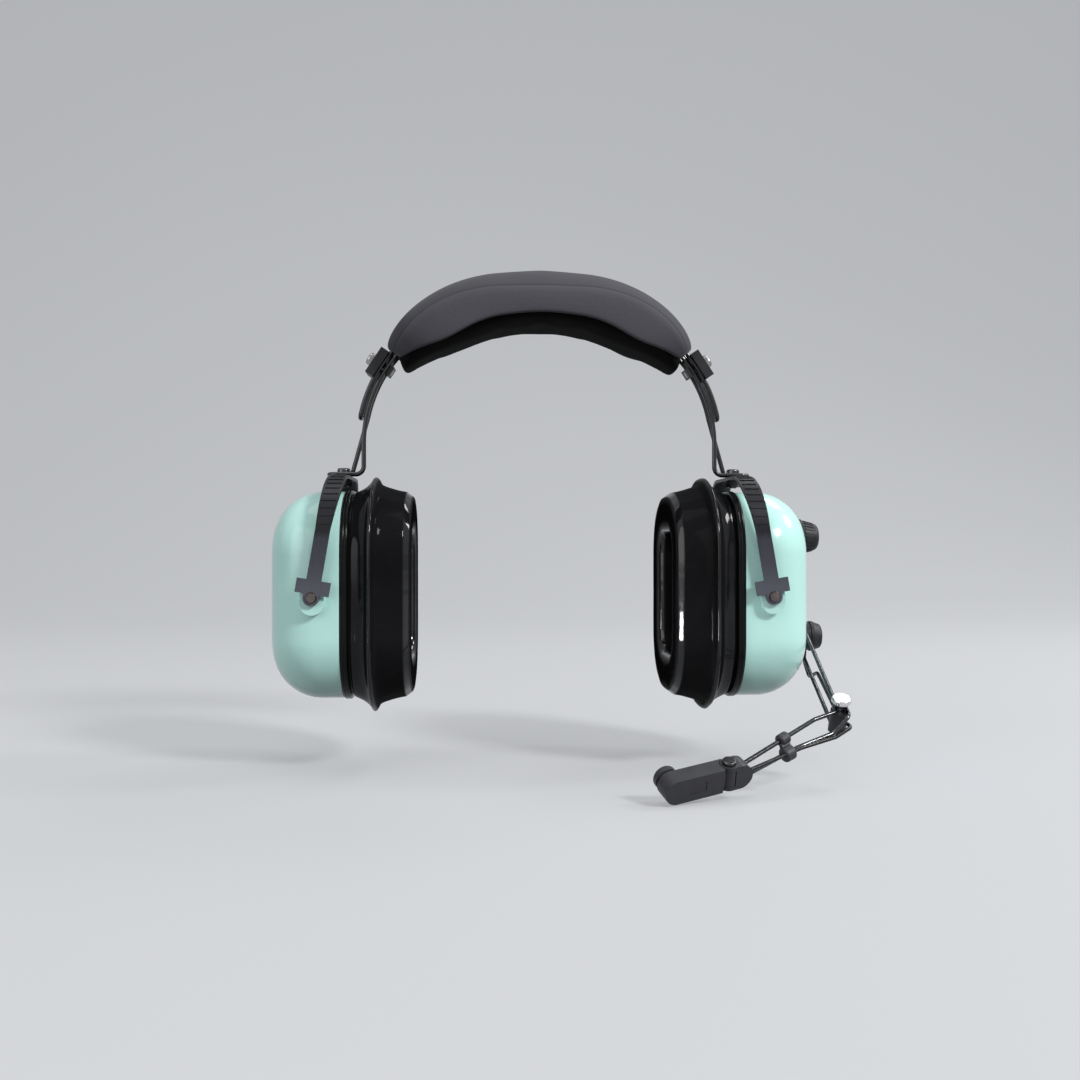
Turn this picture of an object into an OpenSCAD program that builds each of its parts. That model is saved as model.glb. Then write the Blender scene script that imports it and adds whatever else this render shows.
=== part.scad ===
// Aviation headset: wire headband with a padded top, two domed ear cups in sprung stirrups,
// and a wire boom on the left cup that carries the microphone.
// Origin: middle of the head pad's underside. +Z is up, the wearer faces -Y, and the wearer's left is +X.

/* [Headband wires] */
// Diameter of the headband wires
wire_d = 2.3; // [1.8:0.1:2.6]
// Radius of the overhead spring at each side of the head
spring_r = 70; // [67:0.5:74]
// Height of the overhead spring over the pad's underside
spring_rise = 10; // [9:0.5:12]
// Half of the spring's straight length over the crown
crown_half = 20; // [16:1:24]
// Half of the distance between the front and rear wires
leg_half = 4; // [3.8:0.1:4.4]
// Room between the overhead spring and the slide wires under it
wire_gap = 0.6; // [0.4:0.1:1]
// Angle at which the overhead spring ends, from the horizontal
spring_end = 13; // [10:1:16]
// Angle at which the slide wires end inside the pad
slide_top = 56; // [54:1:60]
// Length of the slide wires' legs below the headband's arc
slide_leg = 15.15; // [14:0.05:18]

/* [Head pad] */
// Half of the pad's width, front to back
pad_half = 30; // [26:1:34]
// Height of the pad's crown over the spring
pad_crown = 16.3; // [14:0.1:20]
// Angle at which the pad ends, from the horizontal
pad_end = 40.5; // [40:0.5:46]
// Thickness of the cover's side walls
pad_wall = 4; // [3:0.5:5]
// Depth of the bulge that the underside has at each side of the crown
pad_bulge = 5.5; // [3:0.5:7]
// Extra depth of the cushion towards the pad's ends
pad_droop = 4.5; // [2:0.5:5]

/* [Clamps] */
// Angle of each clamp's middle, from the horizontal
clamp_at = 33.5; // [32:0.5:34]
// Length of a clamp block along the wires
clamp_l = 14.5; // [12:0.5:15]
// Width of a clamp block, front to back
clamp_w = 16; // [14:1:20]
// Thickness of a clamp block
clamp_t = 4.4; // [3.5:0.1:5]
// Diameter of a clamp screw's shank
clamp_screw_d = 3.4; // [2.6:0.1:3.6]

/* [Ear cups] */
// Width of a dome, front to back
dome_w = 80; // [76:1:84]
// Height of a dome
dome_h = 100; // [96:1:104]
// Corner radius of a dome, seen from the side
dome_corner = 30; // [28:1:32]
// Radius of the edge round a dome's outer face
dome_edge = 24; // [20:1:26]
// Depth of a dome, from its rim to its outer face
dome_depth = 34.4; // [32:0.2:36]
// Wall thickness of a dome
dome_wall = 2.5; // [2:0.1:3]
// Distance of a dome's rim from the middle of the head
rim_x = 95; // [95:0.5:96]
// Room between a dome's top and the turn of the slide wires over it
cup_room = 8.85; // [8.6:0.05:10]

/* [Ear seals] */
// Distance of a seal's face from the middle of the head
seal_face_x = 62.5; // [61:0.5:64]
// Corner radius of a seal's opening
seal_hole_r = 9.5; // [8:0.5:12]
// Height that a seal's lip stands over the dome's outline
lip_over = 7.6; // [6:0.2:7.8]
// Distance of a seal's lip from the middle of the head
lip_x = 80.8; // [80:0.2:81.4]

/* [Stirrups] */
// Thickness of the stirrup's band
band_t = 1.5; // [1.2:0.1:1.8]
// Width of the band at the top
band_top_w = 9; // [8:0.2:10]
// Width of the band's legs
band_leg_w = 6.8; // [6:0.2:7.6]
// Width of the cross tabs at the band's ends
tab_w = 15.6; // [13:0.2:17]
// Distance of the stirrup's top from the middle of the head
swivel_x = 97.3; // [97:0.1:98]
// Distance of the pivot pins from the middle of the head
pivot_x = 107.2; // [106:0.2:108]
// Outer radius of the stirrup's bends
band_bend_r = 27; // [24:1:29]
// Diameter of the pivot pins
pin_d = 4; // [3:0.2:4.4]

/* [Knobs and boom] */
// Diameter of the volume knob's flange
volume_knob_d = 18; // [16:0.5:19]
// Height of the volume knob
volume_knob_h = 10.4; // [10:0.2:14]
// Height of the volume knob's axis over the cup's middle
volume_up = 28; // [27:0.5:29]
// Diameter of the boom knob
boom_knob_d = 15; // [14:0.5:17]
// Height of the boom knob
boom_knob_h = 5.8; // [5:0.2:9]
// Distance of the boom's pivot below the cup's middle
boom_down = 22; // [21:0.5:23]
// Angle of the boom below the horizontal
boom_fall = 25; // [20:1:30]
// Length of the upper boom, from its pivot to its elbow
boom_l = 70; // [66:1:76]
// Distance that the upper boom leans towards the dome over its length
boom_toe = 2.2; // [1.4:0.1:2.4]
// Half of the distance between the upper boom's wires
boom_half = 6.5; // [6.3:0.1:6.8]
// Diameter of the boom wires
boom_wire_d = 2; // [1.6:0.1:2.2]
// Diameter of the microphone lead
lead_d = 1.8; // [1.4:0.1:2]

/* [Microphone] */
// Length of the microphone with its bracket
mic_l = 38.5; // [36:0.5:42]
// Height of the microphone
mic_h = 11.5; // [10.5:0.5:13]
// Depth of the microphone, front to back
mic_t = 8; // [7:0.2:9]
// Diameter of the capsule's cap
capsule_d = 10.6; // [9:0.2:12]

/* [Hidden] */
$fn = 48;
// Radial room of a running fit, and the room between parts that lie against each other.
fit = 0.05;
seat = 0.1;
pad_gap = 0.3;
// Arc that the headband wires share: its centre is (crown_half, arc_z).
arc_z = spring_rise - spring_r;
slide_r = spring_r - wire_d - wire_gap;
swivel_axis_z = arc_z - slide_leg;
cup_drop = dome_h / 2 + cup_room - swivel_axis_z;
stirrup_top = swivel_axis_z - wire_d / 2 - seat;
// Cup stations, as distances from the middle of the head.
face_x = rim_x + dome_depth;
flange_t = 3.9;
flange_x = rim_x - flange_t;
neck_x = 86.4;
neck_wall = 2.6;
neck_inset = 3;
baffle_t = 2.3;
baffle_x = rim_x - baffle_t;
core_x = dome_w / 2 - dome_corner;
core_y = dome_h / 2 - dome_corner;
post_x = core_x + 8;
post_y = core_y + 8;
post_d = 7;
baffle_screw_d = 2.4;
speaker_d = 42;
speaker_rim = 4;
magnet_d = 24;
magnet_h = 8.6;
// Pivot bosses and stirrup.
boss_d = 11.2;
boss_low = 2.6;
foam_w = 38;
boss_out = dome_w / 2 + 3;
leg_y = boss_out + 0.3 + band_t;
pin_head_d = 5.4;
pin_head_h = 1.3;
rib_count = 10;
rib_h = 0.35;
lean = atan((pivot_x - swivel_x) / (cup_drop + stirrup_top));
screw_d = 3.6;
swivel_head_d = 6.4;
swivel_head_h = 2;
swivel_nut_t = 3;
swivel_low = wire_d / 2 + band_t + 2 * seat + swivel_nut_t + 0.5;
loop_x = swivel_x + 7;
// Knobs.
bush_d = 7;
shaft_d = 6;
pot_d = 16;
pot_h = 10;
pot_x = rim_x + dome_in(volume_up + pot_d / 2) - seat;
inlet_d = 6;
inlet_down = 15;
inlet_x = rim_x + 12;
stud_d = 4;
base_t = 1.2;
hub_t = 2.7;
hub_flange_t = 2.3;
wire_x = base_t + seat + fit + boom_wire_d / 2;
eye_r = boom_wire_d / 2 + 1.4;
elbow_x = wire_x + eye_r - boom_toe;
elbow_screw_d = 2 * (eye_r - boom_wire_d / 2 - fit);
elbow_d = 8;
elbow_top = 1.6;
elbow_low = -9.2;
loop_z = elbow_top + pad_gap + boom_wire_d / 2;
eye_z = loop_z + boom_wire_d + seat;
knob_x = base_t + hub_t + hub_flange_t + 3 * seat;
// Microphone, in the elbow's frame.
mic_at = [-51, -34.5, -5.9];
mic_turn = 200;
mic_pivot = 6.8;
ear_t = 2;
bracket_l = 3;
// Points of the lower boom wire and of the lead, from the elbow's axis.
lower_wire_mid = [[-13.5, -7.2, 1.4]];
lower_wire_out = [[eye_r, -6.5, loop_z], [-5.5, -12, -2.5], [-24, -19.8, -4.9]];
lower_wire_ends = [[-52.4, -35, -3], [-52, -36, -8.7]];
lower_lead = [[2.6, -3.5, -3.2], [4.3, -6.3, -3.2], [-4.9, -13.9, -3.3], [-22.5, -21.6, -3.6],
    [-48.6, -36.3, -4.5]];

// ---- Shared shapes ----

// Inner height of a dome over its rim, at a distance up or down from its middle.
function dome_in(up) = dome_depth - dome_edge
    + sqrt(pow(dome_edge - dome_wall, 2) - pow(max(0, up - core_y - dome_corner + dome_edge), 2));

function unit(v) = v / norm(v);

// A point on an arc round the headband's centre, as [x, z].
function on_arc(r, a) = [crown_half + r * cos(a), arc_z + r * sin(a)];

// Where the tangents of such an arc, from angle a to angle b, meet.
function arc_corner(r, a, b) = on_arc(r / cos((a - b) / 2), (a + b) / 2);

// Direction of the headband wires at an angle, going down.
function down_wire(a) = [sin(a), -cos(a)];

function xz(p, y) = [p.x, y, p.y];

// Length that a bend at q takes off each straight.
function setback(p, q, r, bend_r) = bend_r * tan(acos(unit(q - p) * unit(r - q)) / 2);

// Turns what stands on z to run from a towards b.
module aim(a, b) {
    v = b - a;
    translate(a) rotate([0, acos(v.z / norm(v)), atan2(v.y, v.x)]) children();
}

module rod(a, b, d) {
    aim(a, b) cylinder(h = norm(b - a), d = d);
}

// One bend of radius bend_r at q, on the way from p to r.
module bend(p, q, r, bend_r, d) {
    u = unit(q - p);
    n = unit(cross(u, unit(r - q)));
    out = cross(u, n);
    c = q - u * setback(p, q, r, bend_r) - out * bend_r;
    multmatrix([[out.x, u.x, n.x, c.x], [out.y, u.y, n.y, c.y], [out.z, u.z, n.z, c.z], [0, 0, 0, 1]])
        rotate_extrude(angle = acos(u * unit(r - q))) translate([bend_r, 0]) circle(d = d);
}

// A round wire along points, with a bend radius for each corner. Each straight stops a hair short of
// its bends, and a pin of four fifths of the diameter joins them.
module wire(pts, radii, d, closed = false) {
    n = len(pts);
    hair = 0.004;
    pin = 0.3;
    function at(i) = pts[(i + n) % n];
    function cut(i) = !closed && (i == 0 || i == n - 1) ? 0
        : hair + setback(at(i - 1), at(i), at(i + 1), radii[closed ? (i + n) % n : i - 1]);
    for (i = [0:closed ? n - 1 : n - 2]) {
        u = unit(at(i + 1) - at(i));
        a = at(i) + u * cut(i);
        b = at(i + 1) - u * cut((i + 1) % n);
        rod(a, b, d);
        if (cut(i) > 0) rod(a - u * pin, a + u * hair * 2, d * 0.8);
        if (cut((i + 1) % n) > 0) rod(b - u * hair * 2, b + u * pin, d * 0.8);
    }
    for (i = [closed ? 0 : 1:closed ? n - 1 : n - 2])
        bend(at(i - 1), at(i), at(i + 1), radii[closed ? i : i - 1], d);
}

// The right side is the left side's mirror image.
module sided(left) {
    if (left) children();
    else mirror([1, 0, 0]) children();
}

// A cup's frame: z is the distance from the middle of the head, x is back, y is up.
module at_cup() {
    translate([0, 0, -cup_drop]) rotate([90, 0, 90]) children();
}

// A section in (radius, distance) swept round the dome's outline. Radius is from the corners' centres.
module round_sweep() {
    for (i = [0:3]) rotate(90 * i) {
        sx = i % 2 == 0 ? core_x : core_y;
        sy = i % 2 == 0 ? core_y : core_x;
        translate([sx, sy, 0]) rotate_extrude(angle = 90) children();
        translate([sx, sy, 0]) rotate([90, 0, 0]) linear_extrude(2 * sy) children();
    }
}

// The dome's outline in plan with corners of radius r round the same centres.
module plan(r) {
    for (x = [-1, 1], y = [-1, 1]) translate([x * core_x, y * core_y]) circle(r);
    square([2 * core_x, 2 * (core_y + r)], center = true);
    square([2 * (core_x + r), 2 * core_y], center = true);
}

module quarter(r) {
    intersection() {
        circle(r);
        square(r + 1);
    }
}

// ---- Headband ----

module overhead_spring() {
    corner = arc_corner(spring_r, spring_end, 90);
    hook = on_arc(spring_r, spring_end) + 3 * down_wire(spring_end);
    color("#141414") wire(
        [xz(hook, -leg_half), xz(corner, -leg_half),
         [-corner.x, -leg_half, corner.y], [-hook.x, -leg_half, hook.y],
         [-hook.x, leg_half, hook.y], [-corner.x, leg_half, corner.y],
         xz(corner, leg_half), xz(hook, leg_half)],
        [2.5, spring_r, spring_r, 2.5, 2.5, spring_r, spring_r, 2.5], wire_d, closed = true);
}

// Place in the pad's section at station t (-1 to 1): y across, and up over the spring's line.
pad_run = crown_half + spring_r * (90 - pad_end) * PI / 180;
function pad_place(t, y, up) =
    let (s = abs(t) * pad_run, a = 90 - max(0, s - crown_half) * 180 / PI / spring_r,
         p = s < crown_half ? [s, spring_rise + up] : on_arc(spring_r + up, a))
    [t < 0 ? -p.x : p.x, y, p.y];

channel_half = leg_half + wire_d / 2 + 0.6;
channel_top = wire_d / 2 + 0.35;
pad_split = spring_r - slide_r + wire_d / 2 + 0.35;
pad_tip = channel_half + pad_wall + 1;
function pad_w(t) = pad_tip + (pad_half - pad_tip) * sqrt(1 - pow(abs(t), 4.5));
function pad_up(t) = channel_top + 1 + (pad_crown - channel_top - 1) * (1 - 0.55 * pow(abs(t), 1.6))
    * sqrt(1 - pow(abs(t), 9));
function pad_low(t) = pad_split + 2.2
    + (spring_rise - pad_split - 2.2 + pad_bulge * pow(sin(180 * t), 2) + pad_droop * pow(t, 4))
        * sqrt(1 - pow(t, 14));
function pad_rim(t) = pad_split + 1.2
    + (spring_rise - pad_split - 2.2 + 0.8 * pad_bulge * pow(sin(180 * t), 2) - 1.5 * t * t)
        * sqrt(1 - pow(t, 14));
seam_low = 1.8;
pad_stations = 30;
crown_points = 14;

// Rings of points, all of one length, joined into a closed solid. cap holds the triangles that close an end.
module loft(rings, cap) {
    m = len(rings[0]);
    n = len(rings);
    polyhedron([for (r = rings) each r], concat(
        cap,
        [for (i = [0:n - 2], j = [0:m - 1]) each
            [[i * m + j, i * m + m + j, i * m + (j + 1) % m],
                [i * m + (j + 1) % m, i * m + m + j, i * m + m + (j + 1) % m]]],
        [for (f = cap) [for (j = [2:-1:0]) (n - 1) * m + f[j]]]), convexity = 6);
}

function fan(from, to, hub) = [for (k = [from:to - 1]) [k, k + 1, hub]];

function station(i) = sin(90 * (2 * i / pad_stations - 1))
    * (1 - 0.25 * pow(cos(90 * (2 * i / pad_stations - 1)), 2));

// Triangles that close the cover's end: its crown, then ten points round the walls and the channel.
function cover_cap(shoulder) =
    let (last = crown_points, mid = last / 2, roof = last + 5)
    concat([[0, 1, shoulder], [shoulder, last + 10, 0]], fan(roof + 1, last + 10, shoulder),
        fan(shoulder, mid, roof + 1), [[mid, roof, roof + 1]], fan(mid, last - shoulder, roof),
        fan(last - shoulder + 1, roof, last - shoulder));

module pad_cover() {
    color("#3c3c40") loft([for (i = [0:pad_stations]) let (
        t = station(i), w = pad_w(t), up = pad_up(t), low = pad_rim(t), in = w - pad_wall)
        concat(
            [for (k = [0:crown_points]) let (a = 180 * k / crown_points)
                pad_place(t, w * sign(cos(a)) * pow(abs(cos(a)), 0.8),
                    (up + seam_low) * pow(sin(a), 0.8) - seam_low)],
            [for (p = [[1 - w, -low], [-in, -low], [-in, -pad_split], [-channel_half, -pad_split],
                [-channel_half, channel_top], [channel_half, channel_top], [channel_half, -pad_split],
                [in, -pad_split], [in, -low], [w - 1, -low]]) pad_place(t, p.x, p.y)])], cover_cap(2));
}

module head_cushion() {
    color("#101010") loft([for (i = [0:pad_stations]) let (
        t = station(i), w = pad_w(t) - pad_wall - pad_gap, top = pad_split + pad_gap, low = pad_low(t) - top)
        [for (k = [0:crown_points]) let (a = 180 * k / crown_points)
            pad_place(t, -w * sign(cos(a)) * pow(abs(cos(a)), 0.55), -top - low * pow(sin(a), 0.55))]],
        fan(1, crown_points, 0));
}

// A clamp's frame: x points out of the arc, z runs up along the wires.
module at_clamp() {
    translate(xz(on_arc(spring_r, clamp_at), 0)) rotate([0, -clamp_at, 0]) children();
}

// A strand pair of the headband as a solid, a little thicker than the wires.
module wire_room(r, extra) {
    for (y = [-leg_half, leg_half]) translate([crown_half, y, arc_z]) rotate([90, 0, 0])
        rotate_extrude(angle = 60) translate([r, 0]) circle(d = wire_d + extra);
}

clamp_out = wire_d / 2 + clamp_t - 1;
module clamp_block() {
    color("#1b1b1b") difference() {
        at_clamp() translate([clamp_out - clamp_t, -clamp_w / 2, -clamp_l / 2])
            cube([clamp_t, clamp_w, clamp_l]);
        wire_room(spring_r, 2 * fit);
        at_clamp() rotate([0, 90, 0]) cylinder(h = 20, d = clamp_screw_d + 2 * fit, center = true);
    }
}

bar_l = 5;
bar_t = 1.8;
bar_x = -(spring_r - slide_r) - wire_d / 2 - 0.15;
module clamp_bar() {
    color("#2a2a2a") at_clamp() difference() {
        translate([bar_x - bar_t, -leg_half - 1.4, -bar_l / 2]) cube([bar_t, 2 * leg_half + 2.8, bar_l]);
        rotate([0, 90, 0]) cylinder(h = 20, d = clamp_screw_d + 2 * fit, center = true);
    }
}

thumb_d = 6.6;
thumb_h = 3.4;
module clamp_screw() {
    color("#8c8c8c") at_clamp() rotate([0, 90, 0]) {
        translate([0, 0, bar_x - bar_t]) cylinder(h = clamp_out - bar_x + bar_t + seat, d = clamp_screw_d);
        translate([0, 0, clamp_out + seat]) rotate_extrude() difference() {
            union() {
                square([thumb_d / 2, thumb_h - 1.2]);
                square([thumb_d / 2 - 1.2, thumb_h]);
                translate([thumb_d / 2 - 1.2, thumb_h - 1.2]) quarter(1.2);
            }
            translate([0, thumb_h - 0.8]) square([1.2, 1]);
        }
    }
}

// ---- Slide wire, swivel and stirrup ----

slide_end = 13;
module slide_wire() {
    front = arc_corner(slide_r, slide_top, 0);
    rear = arc_corner(slide_r, slide_top, slide_end);
    top = on_arc(slide_r, slide_top) - down_wire(slide_top);
    off = on_arc(slide_r, slide_end) + 1.8 * down_wire(slide_end);
    color("#141414") wire(
        [xz(top, -leg_half), xz(front, -leg_half), [crown_half + slide_r, -leg_half, swivel_axis_z],
         [loop_x, -leg_half, swivel_axis_z], [loop_x, leg_half, swivel_axis_z],
         [swivel_x - 3.6, leg_half, swivel_axis_z],
         xz(off, leg_half), xz(rear, leg_half), xz(top, leg_half)],
        [slide_r, 4, leg_half - 0.25, leg_half - 0.25, 3, 8, slide_r], wire_d);
}

module swivel_screw() {
    color("#3a3a3a") translate([swivel_x, 0, swivel_axis_z]) {
        translate([0, 0, wire_d / 2 + fit]) rotate_extrude() difference() {
            union() {
                square([swivel_head_d / 2, swivel_head_h - 1]);
                square([swivel_head_d / 2 - 1, swivel_head_h]);
                translate([swivel_head_d / 2 - 1, swivel_head_h - 1]) quarter(1);
            }
            translate([0, swivel_head_h - 0.7]) square([1.3, 1]);
        }
        translate([0, 0, -swivel_low]) cylinder(h = swivel_low + wire_d / 2 + fit, d = screw_d);
    }
}

module swivel_nut() {
    color("#3a3a3a") translate([swivel_x, 0, stirrup_top - band_t - seat - swivel_nut_t]) difference() {
        cylinder(h = swivel_nut_t, d = 7.4, $fn = 6);
        translate([0, 0, -1]) cylinder(h = swivel_nut_t + 2, d = screw_d + 2 * fit);
    }
}

// The band's outline from the front: a leaning strip that narrows, with side tabs and a round end.
module band_front() {
    h = cup_drop + stirrup_top;
    translate([pivot_x, -cup_drop]) rotate(lean) {
        polygon([[-band_leg_w / 2, 4], [band_leg_w / 2, 4], [band_leg_w / 2, h - 26],
            [band_top_w / 2, h - 6], [band_top_w / 2, h + 6], [-band_top_w / 2, h + 6],
            [-band_top_w / 2, h - 6], [-band_leg_w / 2, h - 26]]);
        translate([-tab_w / 2, 1.6]) square([tab_w, 6.6]);
        circle(d = pin_head_d + 2.2);
    }
}

// The band's inverted U seen from the side, in (y, z).
module band_side() {
    out = leg_y;
    top = stirrup_top;
    low = -cup_drop - 8;
    difference() {
        union() {
            translate([-out, low]) square([2 * out, top - band_bend_r - low]);
            translate([band_bend_r - out, low]) square([2 * (out - band_bend_r), top - low]);
            for (s = [0, 1]) mirror([s, 0]) translate([out - band_bend_r, top - band_bend_r])
                quarter(band_bend_r);
        }
        translate([band_t - out, low - 1]) square([2 * (out - band_t), top - band_bend_r - low + 1]);
        translate([band_bend_r - out, low - 1]) square([2 * (out - band_bend_r), top - low + 1 - band_t]);
        for (s = [0, 1]) mirror([s, 0]) translate([out - band_bend_r, top - band_bend_r])
            quarter(band_bend_r - band_t);
    }
}

module stirrup() {
    color("#1a1a1c") difference() {
        union() {
            intersection() {
                translate([60, 0, 0]) rotate([90, 0, 90]) linear_extrude(70) band_side();
                translate([0, 80, 0]) rotate([90, 0, 0]) linear_extrude(160) band_front();
            }
            stirrup_ribs();
        }
        translate([swivel_x, 0, stirrup_top - 10]) cylinder(h = 20, d = screw_d + 2 * fit);
        translate([pivot_x, 0, -cup_drop]) rotate([90, 0, 0])
            cylinder(h = 120, d = pin_d + fit, center = true);
    }
}

// Low ribs across the band where it bends down at the front and at the back.
module stirrup_ribs() {
    for (s = [0, 1], i = [0:rib_count - 1]) mirror([0, s, 0]) {
        a = 8 + 74 * i / (rib_count - 1);
        x = pivot_x - tan(lean) * (cup_drop + stirrup_top - band_bend_r * (1 - sin(a)));
        translate([x, band_bend_r - leg_y, stirrup_top - band_bend_r]) rotate([90 - a, 0, 0])
            translate([-band_leg_w / 2, -0.6, band_bend_r - 0.5]) cube([band_leg_w, 1.2, 0.5 + rib_h]);
    }
}

module pivot_pins() {
    color("#6b625c") for (s = [0, 1]) mirror([0, s, 0])
        translate([pivot_x, -leg_y, -cup_drop]) rotate([-90, 0, 0]) {
            cylinder(h = leg_y - 35.2, d = pin_d);
            translate([0, 0, -pin_head_h - fit])
                cylinder(h = pin_head_h, d1 = pin_head_d - 1.2, d2 = pin_head_d);
            translate([0, 0, -pin_head_h - 0.5]) cylinder(h = 1, d = 2.6);
        }
}

// ---- Ear cup ----

module dome_profile(r, depth, edge) {
    square([r, depth - edge]);
    square([r - edge, depth]);
    translate([r - edge, depth - edge]) quarter(edge);
}

module dome_shell() {
    round_sweep() difference() {
        dome_profile(dome_corner, dome_depth, dome_edge);
        dome_profile(dome_corner - dome_wall, dome_depth - dome_wall, dome_edge - dome_wall);
    }
    translate([-core_x, -core_y, dome_depth - dome_wall]) cube([2 * core_x, 2 * core_y, dome_wall]);
}

module dome(left) {
    color("#a8e0cd") at_cup() difference() {
        union() {
            translate([0, 0, rim_x]) dome_shell();
            for (s = [0, 1]) mirror([s, 0, 0])
                translate([dome_w / 2 - dome_wall - 0.6, 0, pivot_x]) rotate([0, 90, 0]) {
                    for (y = [-boss_low, 0]) translate([0, y, 0])
                        cylinder(h = boss_out - dome_w / 2 + dome_wall + 0.6, d = boss_d);
                    translate([-boss_d / 2, -boss_low, 0])
                        cube([boss_d, boss_low, boss_out - dome_w / 2 + dome_wall + 0.6]);
                }
            for (x = [-1, 1], y = [-1, 1]) translate([x * post_x, y * post_y, rim_x + seat])
                cylinder(h = dome_depth - 2.2 - seat, d = post_d);
        }
        translate([0, 0, pivot_x]) rotate([0, 90, 0]) cylinder(h = 120, d = pin_d + 2 * fit, center = true);
        for (x = [-1, 1], y = [-1, 1]) translate([x * post_x, y * post_y, rim_x])
            cylinder(h = 8.5, d = baffle_screw_d + 2 * fit);
        if (left) {
            translate([0, volume_up, face_x - 6]) cylinder(h = 12, d = bush_d + 2 * fit);
            translate([0, -boom_down, face_x - 6]) cylinder(h = 12, d = stud_d + 2 * fit);
            translate([dome_w / 2 - 6, -inlet_down, inlet_x]) rotate([0, 90, 0])
                cylinder(h = 12, d = inlet_d + 3);
        }
    }
}

module cup_ring() {
    r = dome_corner - neck_inset;
    out = dome_corner + 0.6;
    color("#121212") at_cup() round_sweep() difference() {
        union() {
            translate([r - neck_wall, neck_x]) square([neck_wall, baffle_x - neck_x - 1]);
            translate([r - neck_wall, flange_x]) square([out - 1.2 - r + neck_wall, flange_t - fit]);
            for (x = [flange_x + 1.2, rim_x - fit - 1.2]) translate([out - 1.2, x]) circle(1.2);
        }
        translate([r - neck_wall - 1, baffle_x - fit])
            square([neck_inset + neck_wall + 1 - 1.6, baffle_t + 1]);
    }
}

module baffle() {
    color("#202020") at_cup() translate([0, 0, baffle_x]) linear_extrude(baffle_t) difference() {
        plan(dome_corner - 1.6 - seat);
        for (x = [-1, 1], y = [-1, 1]) translate([x * post_x, y * post_y])
            circle(d = baffle_screw_d + 2 * fit);
        circle(d = 3.2);
        for (ring = [1, 2], i = [0:6 * ring - 1]) rotate(60 * i / ring) translate([5.5 * ring, 0])
            circle(d = 3.2);
    }
}

module baffle_screws() {
    color("#77777a") at_cup() for (x = [-1, 1], y = [-1, 1]) translate([x * post_x, y * post_y, baffle_x]) {
        cylinder(h = 9.5, d = baffle_screw_d);
        translate([0, 0, -1.5 - fit]) cylinder(h = 1.5, d = 4.6);
    }
}

module speaker() {
    color("#2c2c2e") at_cup() translate([0, 0, rim_x + fit]) {
        rotate_extrude() polygon([[0, 2], [8, 0.6], [speaker_d / 2 - 3, 0.6], [speaker_d / 2 - 3, 0],
            [speaker_d / 2, 0], [speaker_d / 2, speaker_rim], [magnet_d / 2, speaker_rim + 1.6],
            [magnet_d / 2, speaker_rim + magnet_h], [0, speaker_rim + magnet_h]]);
    }
}

liner_x = neck_x + 0.4;
module foam_liner() {
    r = dome_corner - neck_inset - neck_wall - pad_gap;
    color("#18181a") at_cup() translate([0, 0, liner_x]) linear_extrude(baffle_x - liner_x - pad_gap)
        difference() {
        plan(r);
        for (x = [-1, 1], y = [-1, 1]) translate([x * post_x, y * post_y]) circle(d = 6);
    }
}

module acoustic_foam() {
    low = speaker_rim + magnet_h + pad_gap;
    color("#4a4a4a") at_cup() translate([-foam_w / 2, -foam_w / 3, rim_x + low])
        cube([foam_w, foam_w * 0.68, dome_in(foam_w / 2 - core_x + core_y) - pad_gap - low]);
}

// Seal section: a rolled cushion that tapers to its face, a flared lip, and a skirt over the ring's neck.
module seal_section() {
    hole = seal_hole_r;
    face = seal_face_x;
    face_r = dome_corner + 0.5;
    root_r = dome_corner + 3.6;
    edge = 2.6;
    hole_edge = 3;
    lip_r = 1;
    tip = dome_corner + lip_over;
    back = flange_x - 0.7;
    neck = dome_corner - 0.3;
    skirt = dome_corner - neck_inset + pad_gap;
    polygon([
        [hole, face + hole_edge], [hole + hole_edge, face + hole_edge], [hole + hole_edge, face],
        [face_r - edge, face], [face_r - edge, face + edge], [face_r, face + edge],
        [root_r - 0.4, lip_x - 3.4], [root_r + 0.8, lip_x - 2.2],
        [tip - lip_r, lip_x - lip_r], [tip - lip_r, lip_x + lip_r],
        [neck + 4.6, lip_x + 2.4], [neck + 2.4, lip_x + 4.4], [neck + 0.9, lip_x + 6.8],
        [neck, back - 0.8], [neck - 0.8, back], [skirt, back], [skirt, neck_x - pad_gap],
        [hole + 6, neck_x - pad_gap], [hole, neck_x - 4]]);
    translate([face_r - edge, face + edge]) mirror([0, 1]) quarter(edge);
    translate([hole + hole_edge, face + hole_edge]) rotate(180) quarter(hole_edge);
    translate([tip - lip_r, lip_x]) circle(lip_r);
}

module ear_seal() {
    color("#0c0c0c") at_cup() round_sweep() seal_section();
}

// ---- Left dome's controls ----

module volume_pot() {
    color("#55585a") at_cup() translate([0, volume_up, 0]) difference() {
        union() {
            translate([0, 0, pot_x - pot_h]) cylinder(h = pot_h, d = pot_d);
            translate([0, 0, pot_x - 1]) cylinder(h = face_x + 3.4 - pot_x + 1, d = bush_d);
        }
        translate([0, 0, pot_x - 8]) cylinder(h = 30, d = shaft_d + 2 * fit);
    }
}

module volume_shaft() {
    color("#9a9a9a") at_cup() translate([0, volume_up, pot_x - 7.8])
        cylinder(h = face_x + volume_knob_h - 2.7 - pot_x + 7.8, d = shaft_d);
}

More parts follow.
